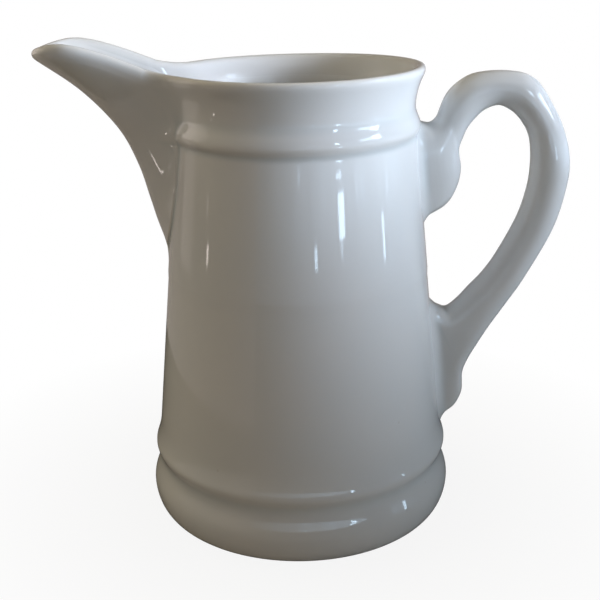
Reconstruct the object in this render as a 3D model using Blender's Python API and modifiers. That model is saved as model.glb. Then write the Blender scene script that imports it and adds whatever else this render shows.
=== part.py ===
"""White porcelain water jug: a turned body, a beak spout and a scrolled handle, joined by layers of slip."""

import math

import bmesh
import bpy
from mathutils import Vector

MM = 0.001

# Turned body: heights from the table, radii from the axis
RIM_HEIGHT = 191.7 * MM
WALL_TOP_RADIUS = 49.2 * MM  # outer wall just under the collar
WALL_BASE_RADIUS = 63.7 * MM  # outer wall carried down to the groove
WALL_THICKNESS = 4.5 * MM
RIM_FLARE = 2.9 * MM  # widest rim beyond the neck
LIP_HEIGHT = 2.1 * MM  # rounded lip above the widest rim
NECK_INSET = 0.8 * MM  # neck inside the wall's top radius
NECK_DROP = 17.0 * MM  # rim top down to the narrowest neck
COLLAR_PROUD = 1.6 * MM  # collar bead beyond the wall
COLLAR_DROP = 25.0 * MM  # rim top down to the widest collar
COLLAR_UNDERCUT = 4.0 * MM  # widest collar down to the crease under it
FOOT_HEIGHT = 24.6 * MM  # table up to the groove
BEAD_PROUD = 1.4 * MM  # small bead beyond the wall
BEAD_RISE = 8.0 * MM  # groove up to the widest bead
BEAD_TAIL = 9.0 * MM  # widest bead up to the plain wall
GROOVE_DEPTH = 1.5 * MM  # groove behind the bead
FOOT_PROUD = 3.6 * MM  # foot band beyond the groove
FOOT_BULGE_HEIGHT = 11.5 * MM  # table up to the widest foot
FOOT_TUCK = 4.8 * MM  # foot's lower edge drawn in under the bulge
REST_WIDTH = 6.0 * MM  # flat ring that the jug stands on
RECESS_DEPTH = 4.5 * MM  # base lifted off the table inside that ring
RECESS_DRAFT = 1.1 * MM  # lean of the ring's inner side
FLOOR_THICKNESS = 6.0 * MM
FLOOR_CORNER = 14.0 * MM  # round corner between floor and wall inside

# Spout: out along -X from the rim
SPOUT_LENGTH = 54.6 * MM  # tip beyond the widest rim
SPOUT_HALF_WIDTH = 20.0 * MM
SPOUT_FLARE = 5.6 * MM  # each side opens out by this where it meets the rim
SPOUT_RISE = 10.6 * MM  # crest of the lip above the rim
SPOUT_CREST = 0.74  # place of the crest along the lip, root to tip
SPOUT_TIP_DROP = 4.6 * MM  # tip below the crest
SPOUT_DEPTH = 74.0 * MM  # rim down to the chin
SPOUT_ROOT_HALF_WIDTH = 24.5 * MM  # where the sides meet the wall
SPOUT_ROOT_ROUND = 56.0 * MM  # height of the rounded lower end of that outline
SPOUT_ROOT_TOP = 6.0 * MM  # rim down to the upper end of that outline
SPOUT_THICKNESS = 4.0 * MM
SPOUT_BURIED = 7.0 * MM  # run of the ribs inside the wall before they are trimmed
CUT_INSET = 8.5 * MM  # cut in the wall inside the root outline, where its round end begins
CUT_TOP_INSET = 4.8 * MM  # the same at the rim
CUT_LEDGE = 15.0 * MM  # and at the chin
LIP_OPENING = 0.4  # share of the lip, from the rim, over which the sides open out
LIP_CLIMB = 1.25  # how late the lip starts to rise
LIP_BLUNTNESS = 2.2  # how round the lip is at its tip

# Keel from chin to tip: share of the way out, share of the way up
KEEL = ((0.0, 0.0), (0.085, 0.12), (0.15, 0.27), (0.23, 0.45), (0.375, 0.64), (0.65, 0.835), (1.0, 1.0))

# Handle: out along +X. Each point of the bow is (out from the wall, up from its root, radius of the section)
UPPER_ROOT_DROP = 7.7 * MM  # crease under the collar down to the middle of the upper root
LOWER_ROOT_RISE = 41.4 * MM  # groove up to the middle of the lower root
THUMB_BEND = (45.5 * MM, 19.3 * MM, 7.7 * MM)  # point of the bow that carries the thumb rest
BOW_FROM_UPPER_ROOT = (
    (-3.0 * MM, -6.0 * MM, 9.6 * MM),
    (11.2 * MM, 8.9 * MM, 8.9 * MM),
    (18.8 * MM, 20.6 * MM, 8.2 * MM),
    (32.0 * MM, 26.6 * MM, 7.0 * MM),
    THUMB_BEND,
    (54.9 * MM, -4.0 * MM, 8.4 * MM),
    (50.3 * MM, -30.0 * MM, 8.4 * MM),
)
BOW_FROM_LOWER_ROOT = (
    (31.6 * MM, 40.4 * MM, 8.5 * MM),
    (18.8 * MM, 21.4 * MM, 9.9 * MM),
    (6.6 * MM, 7.0 * MM, 12.2 * MM),
    (-4.0 * MM, -5.0 * MM, 12.0 * MM),
)
THUMB_OUT = 2.0 * MM  # centre of the thumb rest from its point of the bow
THUMB_UP = 5.7 * MM
THUMB_RADIUS = 4.2 * MM
UPPER_SCROLL_OUT = 4.0 * MM  # centre of the upper scroll from the upper root
UPPER_SCROLL_DROP = 8.0 * MM
UPPER_SCROLL_SIZE = (14.2 * MM, 8.8 * MM, 17.8 * MM)  # half sizes along X, Y and Z
LOWER_SCROLL_OUT = 2.6 * MM  # centre of the lower scroll from the lower root
LOWER_SCROLL_DROP = 16.0 * MM
LOWER_SCROLL_SIZE = (10.7 * MM, 8.0 * MM, 14.5 * MM)
LOWER_CREST_RISE = 13.0 * MM  # centre of the crest that runs up the wall over the lower root
LOWER_CREST_SIZE = (7.0 * MM, 8.5 * MM, 10.5 * MM)

# Joints: wall, gap, slip, gap, applied piece
JOINT_GAP = 0.3 * MM
SLIP_THICKNESS = 0.8 * MM
SLIP_SPREAD = 1.5 * MM  # slip squeezed out past the applied piece

# Fineness of the facets
TURN_STEPS = 64
ARC_STEPS = 5  # along each curve of the turned profile
RIB_COUNT = 28
RIB_STEPS = 14
NORMAL_STEP = 0.01  # share of the spout's surface between the points that give its normal
CUT_STEPS = 12  # round the lower end of the cut
BOW_SIDES = 6  # bevel steps round the bow
BOW_STEPS = 5  # along it, from point to point
ROUND_SEGMENTS = 24  # about each scroll
ROUND_RINGS = 14
SHARP_ANGLE = math.radians(40)
WELD = 0.02 * MM

GLAZE_WHITE = (0.80, 0.80, 0.78)
GLAZE_ROUGHNESS = 0.12
SLIP_WHITE = (0.78, 0.78, 0.75)
SLIP_ROUGHNESS = 0.2

# Radii and heights that follow from the sizes above
NECK_RADIUS = WALL_TOP_RADIUS - NECK_INSET
RIM_RADIUS = NECK_RADIUS + RIM_FLARE
RIM_WIDEST_HEIGHT = RIM_HEIGHT - LIP_HEIGHT
NECK_HEIGHT = RIM_HEIGHT - NECK_DROP
COLLAR_HEIGHT = RIM_HEIGHT - COLLAR_DROP
CREASE_HEIGHT = COLLAR_HEIGHT - COLLAR_UNDERCUT
BEAD_HEIGHT = FOOT_HEIGHT + BEAD_RISE
FLOOR_HEIGHT = RECESS_DEPTH + FLOOR_THICKNESS
UPPER_ROOT_HEIGHT = CREASE_HEIGHT - UPPER_ROOT_DROP
LOWER_ROOT_HEIGHT = FOOT_HEIGHT + LOWER_ROOT_RISE


def clear_scene():
    for old in list(bpy.data.objects):
        bpy.data.objects.remove(old)


def new_collection(name):
    collection = bpy.data.collections.new(name)
    bpy.context.scene.collection.children.link(collection)
    return collection


def new_material(name, colour, roughness):
    material = bpy.data.materials.new(name)
    material.use_nodes = True
    shader = material.node_tree.nodes["Principled BSDF"]
    shader.inputs["Base Color"].default_value = (*colour, 1.0)
    shader.inputs["Roughness"].default_value = roughness
    shader.inputs["Metallic"].default_value = 0.0
    return material


def add_object(name, mesh, collection):
    made = bpy.data.objects.new(name, mesh)
    collection.objects.link(made)
    mesh.shade_smooth()
    mesh.set_sharp_from_angle(angle=SHARP_ANGLE)
    return made


def as_helper(made):
    made.hide_render = True
    made.display_type = "WIRE"
    return made


def boolean(target, operation, other):
    modifier = target.modifiers.new(f"{operation.lower()}_{other.name}", "BOOLEAN")
    modifier.operation = operation
    modifier.object = other


def wall_radius(height):
    """The plain tapered wall, straight from the groove to the crease under the collar."""
    share = (height - FOOT_HEIGHT) / (CREASE_HEIGHT - FOOT_HEIGHT)
    return WALL_BASE_RADIUS + (WALL_TOP_RADIUS - WALL_BASE_RADIUS) * share


def ease(start, end):
    """From one (radius, height) to the next, upright at both ends; the first point is left out."""
    points = []
    for step in range(1, ARC_STEPS + 1):
        share = step / ARC_STEPS
        blend = (1 - math.cos(math.pi * share)) / 2
        points.append((start[0] + (end[0] - start[0]) * blend, start[1] + (end[1] - start[1]) * share))
    return points


def quarter_round(start, end):
    """A quarter ellipse, upright at the start and level at the end; the first point is left out."""
    points = []
    for step in range(1, ARC_STEPS + 1):
        angle = math.pi / 2 * step / ARC_STEPS
        points.append(
            (
                end[0] + (start[0] - end[0]) * math.cos(angle),
                start[1] + (end[1] - start[1]) * math.sin(angle),
            )
        )
    return points


def neck_flare(inset):
    """The hollow neck from the widest rim down to the narrowest place, as a parabola."""
    points = []
    for step in range(ARC_STEPS + 1):
        share = 1 - step / ARC_STEPS
        height = NECK_HEIGHT + (RIM_WIDEST_HEIGHT - NECK_HEIGHT) * share
        points.append((NECK_RADIUS + RIM_FLARE * share**2 - inset, height))
    return points


def outer_side():
    """(radius, height) down the outside, from the widest rim to the table."""
    bead_radius = wall_radius(BEAD_HEIGHT) + BEAD_PROUD
    groove_radius = bead_radius - GROOVE_DEPTH
    foot_radius = groove_radius + FOOT_PROUD
    bead_top = BEAD_HEIGHT + BEAD_TAIL
    side = neck_flare(0.0)
    side += ease(side[-1], (WALL_TOP_RADIUS + COLLAR_PROUD, COLLAR_HEIGHT))
    side += quarter_round(side[-1], (WALL_TOP_RADIUS, CREASE_HEIGHT))
    side.append((wall_radius(bead_top), bead_top))
    side += ease(side[-1], (bead_radius, BEAD_HEIGHT))
    side += quarter_round(side[-1], (groove_radius, FOOT_HEIGHT))
    side += ease(side[-1], (foot_radius, FOOT_BULGE_HEIGHT))
    side += quarter_round(side[-1], (foot_radius - FOOT_TUCK, 0.0))
    return side


def inner_side():
    """(radius, height) up the inside, from the middle of the floor to the rim."""
    corner_top = FLOOR_HEIGHT + FLOOR_CORNER
    corner_radius = wall_radius(corner_top) - WALL_THICKNESS
    side = quarter_round((corner_radius, corner_top), (corner_radius - FLOOR_CORNER, FLOOR_HEIGHT))
    side = [(0.0, FLOOR_HEIGHT)] + side[::-1] + [(corner_radius, corner_top)]
    side.append((WALL_TOP_RADIUS - WALL_THICKNESS, CREASE_HEIGHT))
    return side + neck_flare(WALL_THICKNESS)[::-1]


def rounded_lip():
    """Over the top of the rim, from its inner edge to its outer edge, both left out."""
    half = WALL_THICKNESS / 2
    points = []
    for step in range(1, ARC_STEPS + 1):
        angle = math.pi * step / (ARC_STEPS + 1)
        points.append(
            (RIM_RADIUS - half - half * math.cos(angle), RIM_WIDEST_HEIGHT + LIP_HEIGHT * math.sin(angle))
        )
    return points


def turned(name, profile, collection, closed=False):
    """A (radius, height) line turned about Z; a closed line makes a ring."""
    mesh = bpy.data.meshes.new(name)
    edges = [(index, index + 1) for index in range(len(profile) - 1)]
    if closed:
        edges.append((len(profile) - 1, 0))
    mesh.from_pydata([(radius, 0.0, height) for radius, height in profile], edges, [])
    made = bpy.data.objects.new(name, mesh)
    collection.objects.link(made)
    screw = made.modifiers.new("turn", "SCREW")
    screw.axis = "Z"
    screw.steps = TURN_STEPS
    screw.render_steps = TURN_STEPS
    screw.use_merge_vertices = True
    screw.merge_threshold = WELD
    screw.use_smooth_shade = True
    return made


def wall_envelope(name, growth, collection):
    """All that lies within the outside of the body grown by a distance, carried up past the spout."""
    above = RIM_HEIGHT + 2 * SPOUT_RISE
    side = [(radius + growth, height) for radius, height in outer_side()]
    profile = [(0.0, above), (side[0][0], above)] + side + [(0.0, 0.0)]
    return as_helper(turned(name, profile, collection))


def wall_layer(name, bottom, top, collection):
    """The thin layer of slip on the outside of the wall between two heights."""
    outside = [(RIM_RADIUS, RIM_HEIGHT + 2 * SPOUT_RISE)] + outer_side()
    within = [point for point in outside if bottom < point[1] < top]
    within = [(radius_at(outside, top), top)] + within + [(radius_at(outside, bottom), bottom)]
    outer = [(radius + JOINT_GAP + SLIP_THICKNESS, height) for radius, height in within]
    inner = [(radius + JOINT_GAP, height) for radius, height in within]
    return as_helper(turned(name, outer + inner[::-1], collection, closed=True))


def radius_at(profile, height):
    """Radius of a profile that runs downwards, at a height."""
    for upper, lower in zip(profile, profile[1:]):
        if lower[1] <= height <= upper[1] and upper[1] > lower[1]:
            share = (upper[1] - height) / (upper[1] - lower[1])
            return upper[0] + (lower[0] - upper[0]) * share
    return profile[-1][0]


def smooth_line(points, share):
    """A point on the Catmull-Rom line through the points, at a share of the way along them."""
    place = min(max(share, 0.0), 1.0) * (len(points) - 1)
    index = min(int(place), len(points) - 2)
    local = place - index
    ahead = [points[min(max(index + step, 0), len(points) - 1)] for step in (-1, 0, 1, 2)]
    before, start, end, after = (Vector(point) for point in ahead)
    return 0.5 * (
        2 * start
        + (end - before) * local
        + (2 * before - 5 * start + 4 * end - after) * local**2
        + (3 * start - before - 3 * end + after) * local**3
    )


def spout_lip(across):
    """Outer edge of the lip: 0 is the tip, 1 and -1 are where it meets the rim on either side."""
    along = 1 - across**2
    start = math.sqrt(RIM_RADIUS**2 - (SPOUT_HALF_WIDTH + SPOUT_FLARE) ** 2) - WALL_THICKNESS / 2
    reach = start + (RIM_RADIUS + SPOUT_LENGTH - start) * along
    opening = max(0.0, 1 - along / LIP_OPENING) ** 2
    half = SPOUT_HALF_WIDTH * math.sqrt(1 - along**LIP_BLUNTNESS) + SPOUT_FLARE * opening
    if along < SPOUT_CREST:
        climb = (along / SPOUT_CREST) ** LIP_CLIMB
        rise = SPOUT_RISE * climb**2 * (3 - 2 * climb)
    else:
        rise = SPOUT_RISE - SPOUT_TIP_DROP * ((along - SPOUT_CREST) / (1 - SPOUT_CREST)) ** 2
    return Vector((-reach, math.copysign(half, across), RIM_WIDEST_HEIGHT + rise))


def spout_root(across):
    """Where the spout meets the wall: a round-bottomed outline, 0 at the chin, 1 and -1 at its upper ends."""
    climb = (SPOUT_DEPTH - SPOUT_ROOT_TOP) * across**2
    rounded = max(0.0, 1 - climb / SPOUT_ROOT_ROUND)
    half = SPOUT_ROOT_HALF_WIDTH * math.sqrt(1 - rounded**2)
    height = RIM_HEIGHT - SPOUT_DEPTH + climb
    radius = wall_radius(height)
    return Vector((-math.sqrt(radius**2 - half**2), math.copysign(half, across), height))


def spout_surface(across, up):
    """The outside of the spout: every rib is the keel's line, stretched from the root to the lip."""
    lip = spout_lip(across)
    root = spout_root(across)
    if up < 0:
        inward = Vector((root.x, root.y, 0.0)).normalized()
        return root + inward * SPOUT_BURIED * up
    out_share, up_share = smooth_line([(*point, 0.0) for point in KEEL], up)[:2]
    return Vector(
        (
            root.x + (lip.x - root.x) * out_share,
            root.y + (lip.y - root.y) * out_share,
            root.z + (lip.z - root.z) * up_share,
        )
    )


def spout_normal(across, up):
    """Outward normal of the spout, from neighbouring points."""
    side = spout_surface(min(across + NORMAL_STEP, 1), up) - spout_surface(max(across - NORMAL_STEP, -1), up)
    rise = spout_surface(across, min(up + NORMAL_STEP, 1)) - spout_surface(across, max(up - NORMAL_STEP, 0))
    return rise.cross(side).normalized()


def spout_section(across, spread):
    """One closed loop of the shell: up the outside, over the lip, down the inside."""
    outside = []
    inside = []
    for step in range(RIB_STEPS + 1):
        up = step / RIB_STEPS
        skin = spout_surface(across, up)
        normal = spout_normal(across, up)
        outside.append(skin + normal * spread)
        inside.append(skin - normal * (SPOUT_THICKNESS + spread))
    inward = spout_surface(across, -1) - spout_surface(across, 0)
    lip = (outside[-1] + inside[-1]) / 2 + Vector((0, 0, LIP_HEIGHT))
    return [outside[0] + inward] + outside + [lip] + inside[::-1] + [inside[0] + inward]


def spout_shell(name, spread, collection):
    """The spout's sections lofted from one side of the rim round the tip to the other."""
    shape = bmesh.new()
    loops = []
    for rib in range(RIB_COUNT + 1):
        across = -1 + 2 * rib / RIB_COUNT
        loops.append([shape.verts.new(point) for point in spout_section(across, spread)])
    for left, right in zip(loops, loops[1:]):
        for index in range(len(left)):
            after = (index + 1) % len(left)
            shape.faces.new((left[index], left[after], right[after], right[index]))
    shape.faces.new(loops[0])
    shape.faces.new(loops[-1])
    bmesh.ops.recalc_face_normals(shape, faces=shape.faces[:])
    mesh = bpy.data.meshes.new(name)
    shape.to_mesh(mesh)
    shape.free()
    return add_object(name, mesh, collection)


def curve_as_mesh(curve_object, collection):
    """The curve's evaluated mesh with its caps welded, as an object in the curve's place."""
    bpy.context.view_layer.update()
    graph = bpy.context.evaluated_depsgraph_get()
    mesh = bpy.data.meshes.new_from_object(curve_object.evaluated_get(graph))
    shape = bmesh.new()
    shape.from_mesh(mesh)
    bmesh.ops.remove_doubles(shape, verts=shape.verts[:], dist=WELD)
    bmesh.ops.recalc_face_normals(shape, faces=shape.faces[:])
    shape.to_mesh(mesh)
    shape.free()
    name = curve_object.name
    place = curve_object.matrix_world.copy()
    bpy.data.objects.remove(curve_object)
    made = add_object(name, mesh, collection)
    made.matrix_world = place
    return made


def wall_cut(collection):
    """The slot that is cut through the wall behind the spout, round below and opening towards the rim."""
    half = SPOUT_ROOT_HALF_WIDTH - CUT_INSET
    top_half = SPOUT_ROOT_HALF_WIDTH - CUT_TOP_INSET
    bottom = RIM_HEIGHT - SPOUT_DEPTH + CUT_LEDGE
    top = RIM_HEIGHT + SPOUT_RISE
    round_height = SPOUT_ROOT_ROUND - CUT_LEDGE
    outline = [(top_half, top), (top_half, RIM_HEIGHT)]
    for step in range(CUT_STEPS + 1):
        angle = math.pi * step / CUT_STEPS
        outline.append((half * math.cos(angle), bottom + round_height * (1 - math.sin(angle))))
    outline += [(-top_half, RIM_HEIGHT), (-top_half, top)]
    curve = bpy.data.curves.new("wall_cut", "CURVE")
    curve.dimensions = "2D"
    curve.fill_mode = "BOTH"
    curve.extrude = WALL_BASE_RADIUS / 2
    spline = curve.splines.new("POLY")
    spline.points.add(len(outline) - 1)
    for point, (side, height) in zip(spline.points, outline):
        point.co = (side, height, 0.0, 1.0)
    spline.use_cyclic_u = True
    made = bpy.data.objects.new("wall_cut", curve)
    collection.objects.link(made)
    made.rotation_euler = (math.pi / 2, 0.0, math.pi / 2)
    made.location = (-WALL_BASE_RADIUS, 0.0, 0.0)
    return as_helper(curve_as_mesh(made, collection))


def bow_points():
    """Centre line of the handle as (position, radius), from the upper root round to the lower one."""
    upper = wall_radius(UPPER_ROOT_HEIGHT)
    lower = wall_radius(LOWER_ROOT_HEIGHT)
    points = []
    for out, up, size in BOW_FROM_UPPER_ROOT:
        points.append((Vector((upper + out, 0, UPPER_ROOT_HEIGHT + up)), size))
    for out, up, size in BOW_FROM_LOWER_ROOT:
        points.append((Vector((lower + out, 0, LOWER_ROOT_HEIGHT + up)), size))
    return points


def handle_bow(name, spread, collection):
    """The bow: a round section that swells towards its roots, along a smooth curve."""
    points = bow_points()
    curve = bpy.data.curves.new(name, "CURVE")
    curve.dimensions = "3D"
    curve.bevel_depth = 1.0 * MM
    curve.bevel_resolution = BOW_SIDES
    curve.resolution_u = BOW_STEPS
    curve.use_fill_caps = True
    spline = curve.splines.new("BEZIER")
    spline.bezier_points.add(len(points) - 1)
    for knot, (place, size) in zip(spline.bezier_points, points):
        knot.co = place
        knot.radius = (size + spread) / curve.bevel_depth
        knot.handle_left_type = "AUTO"
        knot.handle_right_type = "AUTO"
    made = bpy.data.objects.new(name, curve)
    collection.objects.link(made)
    return curve_as_mesh(made, collection)


def ellipsoid(name, centre, half_sizes, spread, collection):
    shape = bmesh.new()
    bmesh.ops.create_uvsphere(shape, u_segments=ROUND_SEGMENTS, v_segments=ROUND_RINGS, radius=1.0)
    sizes = Vector(half_sizes) + Vector((spread, spread, spread))
    bmesh.ops.scale(shape, vec=sizes, verts=shape.verts[:])
    bmesh.ops.translate(shape, vec=centre, verts=shape.verts[:])
    mesh = bpy.data.meshes.new(name)
    shape.to_mesh(mesh)
    shape.free()
    return as_helper(add_object(name, mesh, collection))


def handle_form(name, spread, collection, helpers):
    """The whole scrolled handle, its roots still running into the wall."""
    upper = Vector((wall_radius(UPPER_ROOT_HEIGHT), 0, UPPER_ROOT_HEIGHT))
    lower = Vector((wall_radius(LOWER_ROOT_HEIGHT), 0, LOWER_ROOT_HEIGHT))
    thumb = upper + Vector((THUMB_BEND[0] + THUMB_OUT, 0, THUMB_BEND[1] + THUMB_UP))
    upper_scroll = upper + Vector((UPPER_SCROLL_OUT, 0, -UPPER_SCROLL_DROP))
    lower_scroll = lower + Vector((LOWER_SCROLL_OUT, 0, -LOWER_SCROLL_DROP))
    lower_crest = lower + Vector((0, 0, LOWER_CREST_RISE))
    made = handle_bow(name, spread, collection)
    for label, centre, sizes in (
        ("thumb_rest", thumb, (THUMB_RADIUS, THUMB_RADIUS, THUMB_RADIUS)),
        ("upper_scroll", upper_scroll, UPPER_SCROLL_SIZE),
        ("lower_scroll", lower_scroll, LOWER_SCROLL_SIZE),
        ("lower_crest", lower_crest, LOWER_CREST_SIZE),
    ):
        boolean(made, "UNION", ellipsoid(f"{name}_{label}", centre, sizes, spread, helpers))
    return made


def build():
    clear_scene()
    parts = new_collection("water_jug")
    cutters = new_collection("water_jug_cutters")
    seat = JOINT_GAP + SLIP_THICKNESS + JOINT_GAP
    envelope = wall_envelope("wall_envelope", seat, cutters)
    between_roots = (UPPER_ROOT_HEIGHT + LOWER_ROOT_HEIGHT) / 2

    underside = outer_side()[-1][0] - REST_WIDTH
    profile = inner_side() + rounded_lip() + outer_side()
    profile += [(underside, 0.0), (underside - RECESS_DRAFT, RECESS_DEPTH), (0.0, RECESS_DEPTH)]
    body = turned("jug_body", profile, parts)
    boolean(body, "DIFFERENCE", wall_cut(cutters))

    spout = spout_shell("pouring_spout", 0.0, parts)
    boolean(spout, "DIFFERENCE", envelope)
    spout_slip = spout_shell("spout_slip_seam", SLIP_SPREAD, parts)
    spout_layer = wall_layer("spout_layer", FOOT_HEIGHT, RIM_HEIGHT + SPOUT_RISE, cutters)
    boolean(spout_slip, "INTERSECT", spout_layer)

    handle = handle_form("handle", 0.0, parts, cutters)
    boolean(handle, "DIFFERENCE", envelope)
    upper_slip = handle_form("upper_handle_slip", SLIP_SPREAD, parts, cutters)
    boolean(upper_slip, "INTERSECT", wall_layer("upper_layer", between_roots, RIM_WIDEST_HEIGHT, cutters))
    lower_slip = handle_form("lower_handle_slip", SLIP_SPREAD, parts, cutters)
    boolean(lower_slip, "INTERSECT", wall_layer("lower_layer", FOOT_BULGE_HEIGHT, between_roots, cutters))

    jug = bpy.data.objects.new("jug", None)
    parts.objects.link(jug)
    for piece in (body, spout, handle):
        piece.data.materials.append(new_material(f"{piece.name}_glaze", GLAZE_WHITE, GLAZE_ROUGHNESS))
        piece.parent = jug
    for piece in (spout_slip, upper_slip, lower_slip):
        piece.data.materials.append(new_material(f"{piece.name}_white", SLIP_WHITE, SLIP_ROUGHNESS))
        piece.parent = jug


build()
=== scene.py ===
import math

import bpy
import numpy as np
from mathutils import Matrix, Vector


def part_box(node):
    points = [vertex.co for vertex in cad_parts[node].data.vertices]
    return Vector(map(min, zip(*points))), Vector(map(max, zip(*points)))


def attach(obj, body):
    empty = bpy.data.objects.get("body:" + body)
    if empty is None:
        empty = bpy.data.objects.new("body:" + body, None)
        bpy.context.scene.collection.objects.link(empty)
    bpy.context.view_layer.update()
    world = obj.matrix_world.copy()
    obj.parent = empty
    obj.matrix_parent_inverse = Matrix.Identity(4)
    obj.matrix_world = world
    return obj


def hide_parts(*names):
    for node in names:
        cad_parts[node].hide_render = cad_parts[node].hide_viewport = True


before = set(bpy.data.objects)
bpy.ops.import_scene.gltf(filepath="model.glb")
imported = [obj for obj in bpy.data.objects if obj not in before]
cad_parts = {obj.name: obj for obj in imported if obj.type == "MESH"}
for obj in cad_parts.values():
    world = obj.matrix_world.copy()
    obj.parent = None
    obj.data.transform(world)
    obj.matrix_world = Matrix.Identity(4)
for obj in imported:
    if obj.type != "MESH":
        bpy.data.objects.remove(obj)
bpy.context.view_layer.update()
mm = 0.001
bodyLow, bodyHigh = (np.array(corner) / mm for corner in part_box("jug_body"))
print("frame loaded: body", np.round(bodyHigh - bodyLow, 1), "mm")


# how the jug's surface is put into a mesh: points closer than this are one point
meshing = dict(weld=0.0002)  # mm


# unit vectors: each vector over its own length
def unit(vectors):
    length = np.linalg.norm(vectors, axis=-1, keepdims=True)
    return vectors / np.maximum(length, 1e-12)


# smooth step: 3t^2 - 2t^3 of the share t from low to high, held at 0 and 1 outside
def smoothStep(value, low, high):
    share = np.clip((value - low) / (high - low), 0, 1)
    return share * share * (3 - 2 * share)


# rounded maximum: the larger of two values, plus (width - gap)^2 / 4 width where they are closer than width
def roundMax(first, second, width):
    near = np.maximum(width - np.abs(first - second), 0)
    return np.maximum(first, second) + near * near / (4 * width)


# a line from one (radius, height) to another, upright at both ends: the radius goes by half a cosine
def easeLine(start, end, count=24):
    share = np.linspace(0, 1, count)[1:, None]
    blend = np.hstack([(1 - np.cos(np.pi * share)) / 2, share])
    return np.array(start) + (np.array(end) - np.array(start)) * blend


# a quarter ellipse, upright at its start and level at its end
def quarterRound(start, end, count=24):
    angle = np.linspace(0, np.pi / 2, count)[1:, None]
    blend = np.hstack([1 - np.cos(angle), np.sin(angle)])
    return np.array(start) + (np.array(end) - np.array(start)) * blend


# rows blurred by a bell curve that is so many rows wide, with both ends kept in place
def blurred(rows, width):
    reach = int(3 * width)
    bell = np.exp(-0.5 * (np.arange(-reach, reach + 1) / width) ** 2)
    before = 2 * rows[0] - rows[reach:0:-1]
    after = 2 * rows[-1] - rows[-2:-reach - 2:-1]
    padded = np.vstack([before, rows, after])
    return np.stack([np.convolve(column, bell / bell.sum(), "valid") for column in padded.T], axis=1)


# a line walked in equal steps and blurred along its length
def softened(line, blur, step=0.1):
    line = np.array(line, float)
    run = np.concatenate([[0], np.cumsum(np.linalg.norm(np.diff(line, axis=0), axis=1))])
    even = np.linspace(0, run[-1], int(run[-1] / step) + 1)
    walked = np.stack([np.interp(even, run, column) for column in line.T], axis=1)
    return blurred(walked, blur / step)


# the curve through a list of points, each stretch a Catmull-Rom cubic of the two points on either side of
# it
def throughPoints(points, count):
    points = np.array(points, float)
    place = np.linspace(0, len(points) - 1, count)
    index = np.minimum(place.astype(int), len(points) - 2)
    t = (place - index)[:, None]
    padded = np.vstack([2 * points[0] - points[1], points, 2 * points[-1] - points[-2]])
    p0, p1, p2, p3 = (padded[index + k] for k in range(4))
    return 0.5 * (
        2 * p1 + (p2 - p0) * t + (2 * p0 - 5 * p1 + 4 * p2 - p3) * t**2 + (3 * p1 - p0 - 3 * p2 + p3) * t**3
    )


# normals of a grid whose columns close in a ring: the step along a row crossed with the step between rows
def gridNormals(grid):
    alongRow = np.roll(grid, -1, axis=1) - np.roll(grid, 1, axis=1)
    betweenRows = np.gradient(grid, axis=0)
    return unit(np.cross(alongRow, betweenRows))


# how much a grid bends at each point: turn of the normal per millimetre, summed along and across;
# hollows are negative
def gridBend(grid, normals):
    along = [np.gradient(part, axis=0) for part in (grid, normals)]
    across = [np.roll(part, -1, axis=1) - np.roll(part, 1, axis=1) for part in (grid, normals)]
    bend = 0
    for step, turn in (along, across):
        bend = bend + (step * turn).sum(-1) / np.maximum((step * step).sum(-1), 1e-4)
    return bend


# two triangles for every cell of a rows by columns grid whose columns close in a ring
def ringTriangles(rows, columns):
    row, column = np.meshgrid(np.arange(rows - 1), np.arange(columns), indexing="ij")
    after = (column + 1) % columns
    a, b = row * columns + column, row * columns + after
    c, d = b + columns, a + columns
    return np.concatenate([np.stack([a, b, c], -1).reshape(-1, 3), np.stack([a, c, d], -1).reshape(-1, 3)])


# cuts triangles along field = level: an edge that crosses gets one point at the crossing, a straight mix of
# its ends, and the triangle becomes a tip and a quad; gives both sides, the cut line as the low side runs
# along it, and the mix
def cutAlong(tris, field, level):
    over = field - level
    over = np.where(np.abs(over) < 1e-7, 1e-7, over)
    high = over[tris] > 0
    count = high.sum(1)
    mixed = (count == 1) | (count == 2)
    lone = np.where(count == 1, high.argmax(1), (~high).argmax(1))
    turned = np.take_along_axis(tris, (lone[:, None] + np.arange(3)) % 3, axis=1)[mixed]
    a, b, c = turned.T
    ends = np.sort(np.concatenate([np.stack([a, b], 1), np.stack([a, c], 1)]), axis=1)
    edges, index = np.unique(ends, axis=0, return_inverse=True)
    share = over[edges[:, 0]] / (over[edges[:, 0]] - over[edges[:, 1]])
    index = index.reshape(-1) + len(field)
    ab, ac = index[:len(a)], index[len(a):]
    tip = np.stack([a, ab, ac], 1)
    quad = np.concatenate([np.stack([ab, b, c], 1), np.stack([ab, c, ac], 1)])
    tipHigh = count[mixed] == 1
    quadHigh = np.tile(~tipHigh, 2)
    lowSide = np.concatenate([tris[count == 0], tip[~tipHigh], quad[~quadHigh]])
    highSide = np.concatenate([tris[count == 3], tip[tipHigh], quad[quadHigh]])
    line = np.where(tipHigh[:, None], np.stack([ac, ab], 1), np.stack([ab, ac], 1))
    return lowSide, highSide, line, (edges, share)


# a value at every point, carried on to the points that a cut has added
def carried(values, mix):
    edges, share = mix
    share = share.reshape(-1, *[1] * (values.ndim - 1))
    return np.concatenate([values, values[edges[:, 0]] * (1 - share) + values[edges[:, 1]] * share])


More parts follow.
